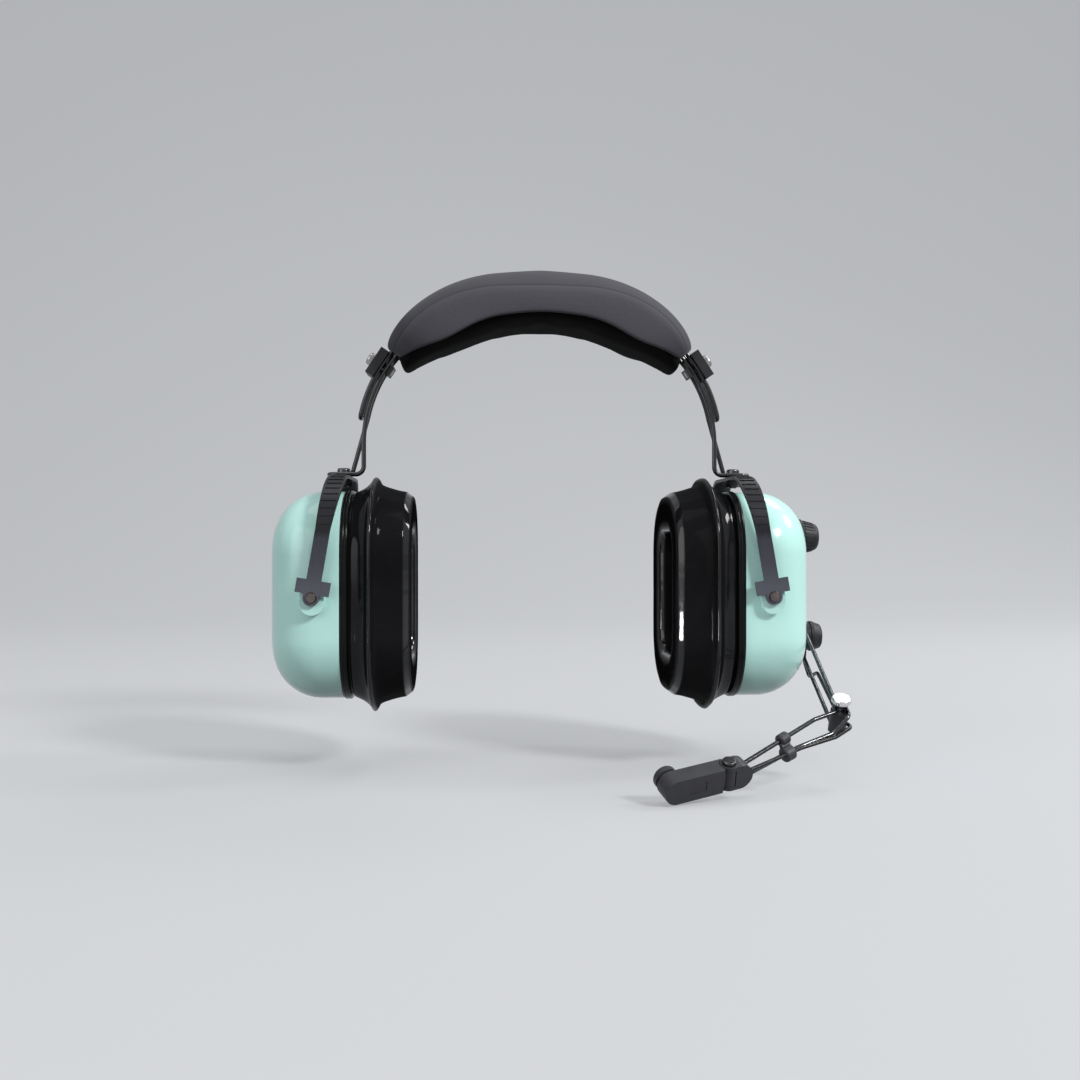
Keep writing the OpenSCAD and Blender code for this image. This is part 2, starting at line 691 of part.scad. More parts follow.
module volume_knob() {
    r = volume_knob_d / 2;
    h = volume_knob_h;
    taper = 1.3;
    grip_h = h - 5.3;
    color("#161616") at_cup() translate([0, volume_up, face_x + pad_gap]) difference() {
        union() {
            rotate_extrude() {
                polygon([[0, 0], [r, 0], [r, 1.8], [r - 0.9, 2.8], [r - 0.9 - taper, h - 2.5],
                    [r - 3.4 - taper, h], [0, h]]);
                translate([r - 3.4 - taper, h - 2.5]) quarter(2.5);
            }
            for (i = [0:23]) rotate(15 * i)
                translate([r - 1.6, -0.4, 2.9]) rotate([0, -atan(taper / grip_h), 0])
                    cube([1, 0.8, grip_h - 0.3]);
        }
        translate([0, 0, -1]) cylinder(h = 4.8, d = bush_d + 1);
        translate([0, 0, -1]) cylinder(h = volume_knob_h - 1.5, d = shaft_d + fit);
    }
}

board_w = 2 * (post_x - post_d / 2 - 1.5);
board_h = 20;
board_t = 1.6;
board_gap = 2.4;
module amplifier_board() {
    color("#1f6b45") at_cup() translate([0, speaker_d / 2 + 2, rim_x + fit]) {
        for (x = [-1, 1]) translate([x * (board_w / 2 - 3), 4, 0]) cylinder(h = board_gap, d = 4);
        translate([-board_w / 2, 0, board_gap]) cube([board_w, board_h, board_t]);
        for (x = [-1, 1]) translate([x * board_w / 5 - 3.5, board_h / 2, board_gap + board_t])
            cube([7, board_h / 3, 2.6]);
    }
}

module cord_inlet() {
    color("#1c1c1c") at_cup() translate([dome_w / 2, -inlet_down, inlet_x]) rotate([0, 90, 0]) difference() {
        union() {
            translate([0, 0, -dome_wall - 1.6])
                cylinder(h = dome_wall + 1.6 + 1.4, d = inlet_d + 3 - 2 * fit);
            translate([0, 0, fit]) cylinder(h = 1.4, d = inlet_d + 6);
        }
        translate([0, 0, -10]) cylinder(h = 20, d = inlet_d);
    }
}

// ---- Boom ----

// The boom's frame: x is out of the dome's face, -y runs along the boom.
module at_boom() {
    translate([face_x, 0, -cup_drop - boom_down]) rotate([boom_fall, 0, 0]) children();
}

module at_elbow() {
    at_boom() translate([elbow_x, -boom_l, 0]) children();
}

module at_mic() {
    at_elbow() translate(mic_at) rotate(mic_turn) children();
}

module boom_base() {
    color("#1a1a1a") at_boom() rotate([0, 90, 0]) difference() {
        translate([0, 0, fit]) cylinder(h = base_t, d = boom_knob_d);
        translate([0, 0, -1]) cylinder(h = 5, d = stud_d + 2 * fit);
    }
}

module boom_stud() {
    color("#8a8a8c") at_boom() rotate([0, 90, 0]) {
        translate([0, 0, -dome_wall - fit - 3]) cylinder(h = 3, d = 8, $fn = 6);
        translate([0, 0, -dome_wall - 2])
            cylinder(h = dome_wall + 2 + knob_x + boom_knob_h - 2.4, d = stud_d);
    }
}

module boom_hub() {
    color("#1e1e1e") at_boom() rotate([0, 90, 0]) difference() {
        union() {
            translate([0, 0, base_t + seat + fit])
                cylinder(h = hub_t, d = 2 * boom_half - boom_wire_d - 0.5);
            translate([0, 0, base_t + seat + fit + hub_t - 0.5])
                cylinder(h = hub_flange_t + 0.5, d = boom_knob_d - 1);
        }
        translate([0, 0, -1]) cylinder(h = 12, d = stud_d + 2 * fit);
    }
}

module boom_knob() {
    r = boom_knob_d / 2;
    h = boom_knob_h;
    color("#141414") at_boom() translate([knob_x, 0, 0]) rotate([0, 90, 0]) difference() {
        rotate_extrude() {
            polygon([[0, 0], [r, 0], [r, 1.4], [r - 1.2, h - 1.6], [r - 2.8, h], [0, h]]);
            translate([r - 2.8, h - 1.6]) quarter(1.6);
        }
        translate([0, 0, -1]) cylinder(h = h - 1, d = stud_d + 2 * fit);
    }
}

// From the hub outwards the wires lean in. toe_y is where that starts, in the boom's frame.
toe_y = -9;
module boom_wires() {
    b = boom_half;
    end_x = wire_x - boom_toe;
    toe_z = b + (eye_z - b) * (b - toe_y) / (b + boom_l + eye_r);
    color("#9b9da0") at_boom() wire(
        [[end_x, -boom_l + 0.5, -b], [wire_x, toe_y, -b], [wire_x, b, -b],
         [wire_x, b, b], [wire_x, toe_y, toe_z],
         [end_x, -boom_l - eye_r, eye_z], [end_x + 2 * eye_r, -boom_l - eye_r, eye_z],
         [end_x + 2 * eye_r, -boom_l + eye_r, eye_z], [end_x + eye_r - 0.3, -boom_l + eye_r, eye_z]],
        [20, b - 0.4, b - 0.4, 20, eye_r - 0.25, eye_r - 0.25, eye_r - 0.25], boom_wire_d);
}

module boom_lead() {
    x = base_t + hub_t + hub_flange_t / 2 + 0.15;
    color("#0f0f0f") at_boom() wire(
        [[x, -1.2, -boom_knob_d / 2 + 0.4], [x, -3, -13], [x, -14, -15.5],
         [x + 0.8, -23, -7.5], [elbow_x, -60, -1.6],
         [elbow_x, -boom_l + elbow_d / 2 - 0.6, -1.6]],
        [3, 4, 8, 8], lead_d);
}

module elbow_block() {
    color("#242424") at_elbow() difference() {
        translate([0, 0, elbow_low]) cylinder(h = elbow_top - elbow_low, d = elbow_d);
        translate([0, 0, -5.2]) cylinder(h = 10, d = elbow_screw_d + 2 * fit);
        rod([-eye_r, 0.3, -boom_half], [boom_toe - eye_r, boom_l + toe_y, -boom_half], boom_wire_d + fit);
        translate([0, 10, -1.6]) rotate([90, 0, 0]) cylinder(h = 6.8, d = lead_d + fit);
    }
}

module elbow_screw() {
    color("#c9c9cc") at_elbow() {
        translate([0, 0, -5]) cylinder(h = eye_z + boom_wire_d / 2 + seat + 5, d = elbow_screw_d);
        translate([0, 0, eye_z + boom_wire_d / 2 + seat]) rotate_extrude() {
            square([4.3, 1.3]);
            square([3.5, 2.1]);
            translate([3.5, 1.3]) quarter(0.8);
        }
    }
}

module lower_boom_wire() {
    color("#9b9da0") at_elbow() wire(
        concat([lower_wire_ends[0]], lower_wire_mid,
            [[-eye_r, -3.2, loop_z], [-eye_r, eye_r, loop_z], [eye_r, eye_r, loop_z]],
            lower_wire_out, [lower_wire_ends[1]]),
        [6, 3, eye_r - 0.25, eye_r - 0.25, 4, 6, 25], boom_wire_d);
}

module lower_boom_lead() {
    color("#0f0f0f") at_elbow() wire(lower_lead, [2.5, 6, 20], lead_d);
}

// Stamped clip: a rounded curl round the upper wire and another round the lower wire and the lead, with a
// web between them.
function between(a, b, part) = a + (b - a) * part;

clip_l = 5.4;
module curl(c, u, d) {
    edge = 1;
    aim(c - u * clip_l / 2, c) rotate_extrude() {
        square([d / 2 - edge, clip_l]);
        translate([0, edge]) square([d / 2, clip_l - 2 * edge]);
        translate([d / 2 - edge, clip_l - edge]) quarter(edge);
        translate([d / 2 - edge, edge]) mirror([0, 1]) quarter(edge);
    }
}

module wire_clip() {
    upper = between(lower_wire_ends[0], lower_wire_mid[0], 0.57);
    lower = between(lower_wire_out[2], lower_wire_ends[1], 0.18);
    lead = between(lower_lead[3], lower_lead[4], 0.23);
    low = (lower + lead) / 2;
    du = unit(lower_wire_mid[0] - lower_wire_ends[0]);
    dl = unit(lower_wire_out[2] - lower_wire_ends[1]);
    across = unit(low - upper);
    along = unit(du - across * (du * across));
    n = cross(along, across);
    color("#2b2a2a") at_elbow() difference() {
        union() {
            curl(upper, du, boom_wire_d + 3.4);
            curl(low, dl, norm(lead - lower) + lead_d + 2);
            multmatrix([[along.x, across.x, n.x, upper.x], [along.y, across.y, n.y, upper.y],
                [along.z, across.z, n.z, upper.z], [0, 0, 0, 1]])
                translate([-clip_l / 2 + 0.4, 0, -1.1]) cube([clip_l - 0.8, norm(low - upper), 2.2]);
        }
        rod(between(lower_wire_ends[0], upper, 0.5), between(lower_wire_mid[0], upper, 0.5),
            boom_wire_d + 2 * fit);
        rod(lower - dl * 9, lower + dl * 5, boom_wire_d + 2 * fit);
        rod(between(lower_lead[4], lead, 0.5), lower_lead[3], lead_d + 2 * fit);
    }
}

// ---- Microphone. Its frame: x runs from the bracket to the capsule, +y is the front face, z is up. ----

// The bar's rounded outline, from the bracket's end to the capsule's end, as a slab cut to a length.
module mic_bar(from, to, t) {
    near = mic_h / 2 - bracket_l;
    far = mic_l - mic_h / 2;
    intersection() {
        translate([0, t / 2, 0]) rotate([90, 0, 0]) linear_extrude(t) {
            for (x = [near, far]) translate([x, 0]) circle(d = mic_h);
            translate([near, -mic_h / 2]) square([far - near, mic_h]);
        }
        translate([from, -t, -mic_h]) cube([to - from, 2 * t, 2 * mic_h]);
    }
}

module pivot_disc(r, h) {
    translate([mic_pivot, 0, -h / 2]) cylinder(h = h, r = r);
}

inner_h = mic_h - 2 * ear_t;
module mic_bracket() {
    color("#2e2c2c") at_elbow() difference() {
        translate(mic_at) rotate(mic_turn) difference() {
            union() {
                mic_bar(-bracket_l, mic_pivot, mic_t);
                intersection() {
                    mic_bar(mic_pivot - 1, mic_l / 2, mic_t);
                    pivot_disc(mic_t / 2, 2 * mic_h);
                }
            }
            pivot_disc(mic_t / 2 + pad_gap, inner_h);
            translate([mic_pivot, -mic_t, -inner_h / 2]) cube([mic_t, 2 * mic_t, inner_h]);
            pivot_disc(1.2 + fit, 2 * mic_h);
        }
        rod(lower_wire_ends[0], lower_wire_mid[0], boom_wire_d + 2 * fit);
        rod(lower_wire_ends[1], lower_wire_out[2], boom_wire_d + 2 * fit);
        rod(lower_lead[4], lower_lead[3], lead_d + 2 * fit);
    }
}

module mic_screw() {
    color("#7d7b78") at_mic() translate([mic_pivot, 0, 0]) {
        translate([0, 0, -mic_h / 2 + 0.4]) cylinder(h = mic_h, d = 2.4);
        translate([0, 0, mic_h / 2 + seat]) rotate_extrude() {
            square([3, 0.8]);
            square([2.2, 1.6]);
            translate([2.2, 0.8]) quarter(0.8);
        }
    }
}

capsule_x = mic_l - mic_h / 2;
cover_t = 1.2;
module mic_housing() {
    color("#2e2c2c") at_mic() difference() {
        union() {
            difference() {
                translate([0, -cover_t / 2, 0]) mic_bar(mic_pivot, mic_l, mic_t - cover_t);
                for (z = [-1, 1]) translate([0, 0, z * (mic_h / 2 + inner_h / 2 - 0.15)])
                    pivot_disc(mic_t / 2 + pad_gap, mic_h);
            }
            intersection() {
                mic_bar(mic_pivot - mic_t / 2, mic_l / 2, mic_t);
                pivot_disc(mic_t / 2, inner_h - 2 * 0.15);
            }
        }
        pivot_disc(1.2 + fit, 2 * mic_h);
        translate([capsule_x, 0, 0]) rotate([90, 0, 0]) cylinder(h = 20, d = 6 + 2 * fit);
    }
}

module mic_cover() {
    color("#353333") at_mic() translate([0, mic_t / 2 - cover_t + cover_t / 2, 0]) difference() {
        intersection() {
            mic_bar(mic_pivot, mic_l, cover_t - 2 * fit);
            translate([mic_pivot + mic_t / 2 + pad_gap, -5, -mic_h]) cube([mic_l, 10, 2 * mic_h]);
        }
        translate([mic_l / 2, 0.3, -2.4]) cube([8, 2, 4.8]);
    }
}

module mic_capsule() {
    color("#a9a6a0") at_mic() translate([capsule_x, 0, 0]) rotate([90, 0, 0]) {
        cylinder(h = mic_t / 2 + 1, d = 6);
        translate([0, 0, mic_t / 2 + fit]) cylinder(h = 1.6, d = capsule_d - 2.2);
    }
}

module mic_cap() {
    color("#3a3636") at_mic() translate([capsule_x, -mic_t / 2 - 1.6 - 2 * fit, 0]) rotate([90, 0, 0])
        difference() {
        rotate_extrude() {
            square([capsule_d / 2, 2.4]);
            square([capsule_d / 2 - 1.2, 3.6]);
            translate([capsule_d / 2 - 1.2, 2.4]) quarter(1.2);
        }
        for (ring = [0, 1], i = [0:ring == 0 ? 0 : 5]) rotate(60 * i) translate([3 * ring, 0, 1])
            cylinder(h = 5, d = 1.4);
    }
}

// ---- Assembly ----

module show(name) {
    children();
}

show("overhead_spring") overhead_spring();
show("pad_cover") pad_cover();
show("head_cushion") head_cushion();
for (left = [true, false]) {
    s = left ? "left_" : "right_";
    show(str(s, "clamp_block")) sided(left) clamp_block();
    show(str(s, "clamp_bar")) sided(left) clamp_bar();
    show(str(s, "clamp_screw")) sided(left) clamp_screw();
    show(str(s, "slide_wire")) sided(left) slide_wire();
    show(str(s, "swivel_screw")) sided(left) swivel_screw();
    show(str(s, "swivel_nut")) sided(left) swivel_nut();
    show(str(s, "stirrup")) sided(left) stirrup();
    show(str(s, "pivot_pins")) sided(left) pivot_pins();
    show(str(s, "dome")) sided(left) dome(left);
    show(str(s, "cup_ring")) sided(left) cup_ring();
    show(str(s, "baffle")) sided(left) baffle();
    show(str(s, "baffle_screws")) sided(left) baffle_screws();
    show(str(s, "speaker")) sided(left) speaker();
    show(str(s, "foam_liner")) sided(left) foam_liner();
    show(str(s, "acoustic_foam")) sided(left) acoustic_foam();
    show(str(s, "ear_seal")) sided(left) ear_seal();
}
show("volume_pot") volume_pot();
show("volume_shaft") volume_shaft();
show("volume_knob") volume_knob();
show("amplifier_board") amplifier_board();
show("cord_inlet") cord_inlet();
show("boom_base") boom_base();
show("boom_stud") boom_stud();
show("boom_hub") boom_hub();
show("boom_knob") boom_knob();
show("boom_wires") boom_wires();
show("boom_lead") boom_lead();
show("elbow_block") elbow_block();
show("elbow_screw") elbow_screw();
show("lower_boom_wire") lower_boom_wire();
show("lower_boom_lead") lower_boom_lead();
show("wire_clip") wire_clip();
show("mic_bracket") mic_bracket();
show("mic_screw") mic_screw();
show("mic_housing") mic_housing();
show("mic_cover") mic_cover();
show("mic_capsule") mic_capsule();
show("mic_cap") mic_cap();
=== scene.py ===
# %% [markdown]
# # An aviation headset
# The rigid pieces of the headset, such as its wires, stirrups, domes and microphone, come in ready made,
# each with its joint. This lesson gives them their finishes, and makes the pieces that are sewn or moulded
# soft: the head pad, the ear seals and the foam inside the cups.

# %% Load the frame
import math
import bmesh
import bpy
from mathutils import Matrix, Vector, noise


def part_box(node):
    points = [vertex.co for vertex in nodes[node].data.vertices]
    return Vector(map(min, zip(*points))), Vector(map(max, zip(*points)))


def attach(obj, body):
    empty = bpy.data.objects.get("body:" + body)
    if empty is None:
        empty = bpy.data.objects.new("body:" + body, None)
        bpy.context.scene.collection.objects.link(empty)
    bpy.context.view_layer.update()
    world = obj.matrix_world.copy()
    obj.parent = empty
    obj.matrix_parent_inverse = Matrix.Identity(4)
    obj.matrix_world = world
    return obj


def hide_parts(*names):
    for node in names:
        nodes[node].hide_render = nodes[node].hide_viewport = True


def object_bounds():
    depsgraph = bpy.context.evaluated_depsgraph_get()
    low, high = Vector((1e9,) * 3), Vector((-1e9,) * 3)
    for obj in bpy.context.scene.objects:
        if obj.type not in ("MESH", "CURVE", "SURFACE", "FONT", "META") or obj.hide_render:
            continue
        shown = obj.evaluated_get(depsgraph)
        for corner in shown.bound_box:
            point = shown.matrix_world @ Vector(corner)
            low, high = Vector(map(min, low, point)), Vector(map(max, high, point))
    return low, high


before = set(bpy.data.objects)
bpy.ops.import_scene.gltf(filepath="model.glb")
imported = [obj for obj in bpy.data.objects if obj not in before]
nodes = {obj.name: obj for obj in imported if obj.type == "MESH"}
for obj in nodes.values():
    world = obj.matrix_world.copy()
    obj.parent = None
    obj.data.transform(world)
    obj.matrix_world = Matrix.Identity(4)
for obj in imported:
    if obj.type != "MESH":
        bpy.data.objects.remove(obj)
for material in bpy.data.materials:
    material.name = "cad_" + material.name
cad_box = [list(corner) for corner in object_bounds()]
low, high = cad_box
print(len(nodes), "nodes; the headset is", [round(1000 * (b - a)) for a, b in zip(low, high)], "mm")

# %% [markdown]
# ## Camera
# The headset is seen from the front, a little from the wearer's right and from ear height, so that the pad
# is seen from below. A level camera with a slight turn keeps the cups upright in the picture. A shift lens
# could do it too, but a plain one is enough here.

# %% Place the camera
SENSOR_MM, LENS_MM, TURN = 36, 38.87, 3
camera = bpy.data.objects.new("camera", bpy.data.cameras.new("camera"))
bpy.context.collection.objects.link(camera)
bpy.context.scene.camera = camera
camera.data.sensor_width, camera.data.lens = SENSOR_MM, LENS_MM
camera.data.clip_start = 0.01
camera.location = (-0.0305, -0.582, -0.1075)
camera.rotation_euler = (math.radians(90), 0, math.radians(-TURN))
print("camera at", [round(v, 3) for v in camera.location])

# %% [markdown]
# ## Writing finishes as sums
# A finish is a small graph of nodes. Wiring it by hand is slow to write and slow to read, so a socket is
# wrapped in a class that knows + - and *: each adds one Math node. Everything else, such as a noise or a
# ramp, comes from one method of the finish, which takes a node's type, its settings and what goes into its
# sockets.

# %% A socket that can be added and multiplied
class Wire:
    def __init__(self, graph, socket):
        self.graph, self.socket = graph, socket

    def maths(self, operation, a, b):
        return self.graph.node("ShaderNodeMath", {"operation": operation}, {0: a, 1: b})

    def __add__(self, other): return self.maths("ADD", self, other)
    def __sub__(self, other): return self.maths("SUBTRACT", self, other)
    def __mul__(self, other): return self.maths("MULTIPLY", self, other)
    def __rsub__(self, other): return self.maths("SUBTRACT", other, self)
    __radd__, __rmul__ = __add__, __mul__


# %% A graph of nodes, and the finish it makes
def opaque(shade):
    """A grey or a colour as red, green, blue and alpha."""
    return (*shade, 1) if isinstance(shade, tuple) else (shade, shade, shade, 1)


class Graph:
    def __init__(self, owner):
        owner.use_nodes = True
        self.owner, self.tree = owner, owner.node_tree

    def feed(self, socket, value):
        if isinstance(value, Wire):
            self.tree.links.new(value.socket, socket)
        else:
            socket.default_value = value

    def node(self, kind, settings, inputs, output=0):
        made = self.tree.nodes.new(kind)
        for key, value in settings.items():
            if key == "stops":
                ramp = made.color_ramp
                while len(ramp.elements) < len(value):
                    ramp.elements.new(0.5)
                for stop, (where, shade) in zip(ramp.elements, value):
                    stop.position, stop.color = where, opaque(shade)
            else:
                setattr(made, key, value)
        for key, value in inputs.items():
            self.feed(made.inputs[key], value)
        return Wire(self, made.outputs[output]) if made.outputs else None


class Finish(Graph):
    def __init__(self, name, **constants):
        self.material = bpy.data.materials.new(name)
        super().__init__(self.material)
        self.shader = self.tree.nodes["Principled BSDF"]
        self.place = self.node("ShaderNodeTexCoord", {}, {}, "Object")
        for key, value in constants.items():
            self.set(key.replace("_", " "), value)

    def set(self, socket, value):
        self.feed(self.shader.inputs[socket], value)

    def noise(self, scale, detail=3, stretch=(1, 1, 1), distortion=0.0):
        place = self.node("ShaderNodeMapping", {}, {"Vector": self.place, "Scale": stretch})
        return self.node("ShaderNodeTexNoise", {}, {"Vector": place, "Scale": scale, "Detail": detail,
                                                    "Distortion": distortion}, "Fac")

    def cells(self, scale, feature="F1"):
        return self.node("ShaderNodeTexVoronoi", {"feature": feature},
                         {"Vector": self.place, "Scale": scale}, "Distance")

    def along(self, axis):
        return self.node("ShaderNodeSeparateXYZ", {}, {"Vector": self.place}, axis)

    def ramp(self, fac, *stops):
        return self.node("ShaderNodeValToRGB", {"stops": stops}, {"Fac": fac})

    def blend(self, fac, a, b):
        a, b = [shade if isinstance(shade, Wire) else opaque(shade) for shade in (a, b)]
        return self.node("ShaderNodeMix", {"data_type": "RGBA"}, {0: fac, 6: a, 7: b}, 2)

    def bump(self, height, depth_mm, strength=1.0):
        self.set("Normal", self.node("ShaderNodeBump", {}, {"Height": height, "Strength": strength,
                                                            "Distance": depth_mm / 1000}))


def dress(finish, *names):
    for name in names:
        slots = nodes[name].data.materials
        slots.clear()
        slots.append(finish.material)
    print(finish.material.name, "on", len(names), "nodes")


def both(*names):
    return [side + name for side in ("left_", "right_") for name in names]


# %% [markdown]
# ## Black wire
# The headband's wires are spring steel with a baked black coat. It is smooth and glossy, with slow changes
# in gloss where hands have rubbed it, and short scuffs where the clamps slide. A plain black would hide
# the bends, so a clear coat, thinned by the scuffs, carries the highlights over a darker and rougher base.

# %% Dress the headband's wires
black_wire = Finish("black_wire", Metallic=0.0, Coat_Roughness=0.07)
black_wire.set("Specular IOR Level", 0.2)
rub = black_wire.noise(90)
scuffs = black_wire.ramp(black_wire.noise(700, 5, (1, 1, 0.25), 0.6), (0.6, 0.0), (0.68, 1.0))
black_wire.set("Base Color", black_wire.blend(scuffs * 0.6, (0.005, 0.005, 0.006), (0.05, 0.051, 0.055)))
black_wire.set("Roughness", rub * 0.3 + 0.18)
black_wire.set("Coat Weight", 0.75 - scuffs * 0.5)
black_wire.bump(black_wire.noise(1400, 2), 0.02, 0.3)
dress(black_wire, "overhead_spring", *both("slide_wire"))

# %% [markdown]
# ## Domes
# Each dome is moulded in a glossy mint-green plastic. Mouldings have a slight orange peel in the gloss,
# and handling leaves faint wiping marks, so the roughness changes a little and the colour hardly at all. A
# thin clear coat keeps the small highlights crisp, and a low specular level keeps the wide ones from
# washing the green out.

# %% Dress the domes
mint = Finish("mint_moulding", Coat_Weight=0.3, Coat_Roughness=0.06)
mint.set("Specular IOR Level", 0.25)
cloud = mint.noise(35, 4)
mint.set("Base Color", mint.blend(cloud, (0.47, 0.79, 0.725), (0.52, 0.83, 0.77)))
wipes = mint.noise(220, 5, (1, 1, 0.2), 0.4)
mint.set("Roughness", mint.ramp(wipes, (0.45, 0.13), (0.62, 0.24)))
mint.bump(mint.noise(260, 2), 0.03, 0.35)
dress(mint, *both("dome"))

# %% [markdown]
# ## Black mouldings
# The rings behind the seals are polished, the knobs and the clamps are not. They share one recipe: a near
# black, a fine moulded grain, a roughness that says how polished the tool was, and how much light the
# plastic throws back.

# %% Dress the black mouldings
def moulding(name, shade, rough, grain, polish, *names):
    made = Finish(name)
    made.set("Specular IOR Level", polish)
    tone = made.noise(160, 4)
    made.set("Base Color", made.blend(tone, tuple(0.75 * c for c in shade), tuple(1.35 * c for c in shade)))
    made.set("Roughness", tone * 0.2 + rough)
    made.bump(made.noise(2600, 2) + made.noise(700, 3) * 0.5, grain)
    dress(made, *names)


moulding("gloss_black", (0.004, 0.0043, 0.0047), 0.1, 0.01, 0.12, *both("cup_ring"))
moulding("grip_black", (0.014, 0.014, 0.0165), 0.38, 0.05, 0.3, "volume_knob", "boom_knob", "boom_hub",
         "boom_base", "cord_inlet", *both("clamp_block", "clamp_bar"))
moulding("cup_black", (0.02, 0.02, 0.021), 0.5, 0.05, 0.3, *both("baffle", "speaker"))
moulding("mic_grey", (0.034, 0.034, 0.039), 0.34, 0.045, 0.3, "mic_housing", "mic_cover", "mic_bracket",
         "wire_clip", "elbow_block", "mic_cap")

# %% [markdown]
# ## Stirrups
# A stirrup is a sprung steel band, blackened and oiled. It shows the light along its length, because it
# was rolled that way, and bare metal shines through at scratches. The streaks are a noise stretched along
# Z. The band stays black where its teeth are, and below them its colour turns lighter and bluish grey, most
# of all at the pin: a ramp over the height does that. A mask painted by hand would do as well.

# %% Dress the stirrups
stirrup_black = Finish("stirrup_black", Metallic=0.65)
streaks = stirrup_black.noise(900, 3, (1, 1, 0.05))
nicks = stirrup_black.ramp(stirrup_black.noise(420, 6, distortion=1.2), (0.68, 0.0), (0.74, 1.0))
height = stirrup_black.along("Z") * -5
# The band's colour grows lighter and bluer towards the bottom, most of all at the pin.
lighter_below = stirrup_black.ramp(height + streaks * 0.02,
                            (0.528, (0.018, 0.018, 0.021)), (0.545, (0.048, 0.048, 0.062)),
                            (0.60, (0.058, 0.059, 0.075)), (0.66, (0.095, 0.098, 0.12)))
stirrup_black.set("Base Color", stirrup_black.blend(nicks, lighter_below, (0.12, 0.125, 0.145)))
stirrup_black.set("Roughness", streaks * 0.22 + 0.26)
stirrup_black.bump(streaks, 0.03, 0.5)
dress(stirrup_black, *both("stirrup"))

# %% [markdown]
# ## Bare metal
# Screws, pins and the boom's wires are bare or thinly plated. One recipe again: a metal colour, a tarnish
# that dulls it in patches and fine turning marks.

# %% Dress the metal pieces
def metal(name, bright, dull, rough, *names):
    made = Finish(name, Metallic=1.0)
    tarnish = made.ramp(made.noise(260, 5), (0.4, 0.0), (0.65, 1.0))
    made.set("Base Color", made.blend(tarnish, bright, dull))
    made.set("Roughness", tarnish * 0.14 + rough)
    made.bump(made.noise(1800, 3), 0.012, 0.5)
    dress(made, *names)


metal("screw_steel", (0.36, 0.35, 0.34), (0.2, 0.19, 0.185), 0.2, "volume_shaft", "volume_pot", "boom_stud",
      "mic_capsule", *both("clamp_screw", "baffle_screws"))
metal("dark_screw", (0.09, 0.09, 0.092), (0.05, 0.05, 0.05), 0.22, "mic_screw",
      *both("swivel_screw", "swivel_nut"))
metal("pin_steel", (0.16, 0.135, 0.125), (0.10, 0.088, 0.082), 0.36, *both("pivot_pins"))
metal("boom_steel", (0.085, 0.087, 0.092), (0.05, 0.051, 0.054), 0.15, "boom_wires", "lower_boom_wire")
metal("chrome", (0.75, 0.75, 0.76), (0.6, 0.6, 0.61), 0.08, "elbow_screw")

# %% [markdown]
# ## Leads and the board
# The microphone's lead has a smooth black jacket. The board inside the left cup isn't seen from outside,
# but a piece that is opened should show its green lacquer.

# %% Dress the leads and the board
moulding("lead_black", (0.007, 0.007, 0.007), 0.16, 0.02, 0.3, "boom_lead", "lower_boom_lead")
board_green = Finish("board_green", Coat_Weight=0.5)
tracks = board_green.ramp(board_green.cells(420), (0.2, 0.0), (0.3, 1.0))
board_green.set("Base Color", board_green.blend(tracks, (0.02, 0.16, 0.07), (0.035, 0.26, 0.12)))
board_green.set("Roughness", tracks * 0.1 + 0.3)
dress(board_green, "amplifier_board")

# %% [markdown]
# ## Skins from rings
# The pad and the seals are long shapes with a section that changes slowly, so they are made as rings of
# points joined into a skin. A loft closed at both ends makes the pad, and one whose last ring meets the
# first makes a seal. Box modelling would do as well, but rings keep the seams and wrinkles exactly where a
# sewer would put them.

# %% A skin from rings of points, in millimetres
def skin(name, rings, closed, finish, level=1):
    mesh = bpy.data.meshes.new(name)
    piece = bpy.data.objects.new(name, mesh)
    bpy.context.collection.objects.link(piece)
    model = bmesh.new()
    rows = [[model.verts.new(Vector(p) / 1000) for p in ring] for ring in rings]
    for i in range(len(rows) if closed else len(rows) - 1):
        here, there = rows[i], rows[(i + 1) % len(rows)]
        for j in range(len(here)):
            k = (j + 1) % len(here)
            model.faces.new((here[j], there[j], there[k], here[k]))
    if not closed:
        for row in (rows[0], rows[-1]):
            middle = model.verts.new(sum((v.co for v in row), Vector()) / len(row))
            for j in range(len(row)):
                model.faces.new((row[j], row[(j + 1) % len(row)], middle))
    bmesh.ops.recalc_face_normals(model, faces=model.faces)
    for face in model.faces:
        face.smooth = True
    model.to_mesh(mesh)
    model.free()
    mesh.materials.append(finish.material)
    if level:
        smoother = piece.modifiers.new("smoother", "SUBSURF")
        smoother.levels = smoother.render_levels = level
    print(name, len(mesh.vertices), "points")
    return piece


# %% [markdown]
# ## Filling a sewn cover
# Foam pushes a cover outwards everywhere but at its seams. Blender's cloth does just that: the seams are
# pinned, a small pressure fills the rest, and gravity is off. The movement is capped afterwards, so that
# the cover keeps the size it was sewn to.

# %% Fill a piece by cloth
PRESSURE, FRAMES = 3.0, 20


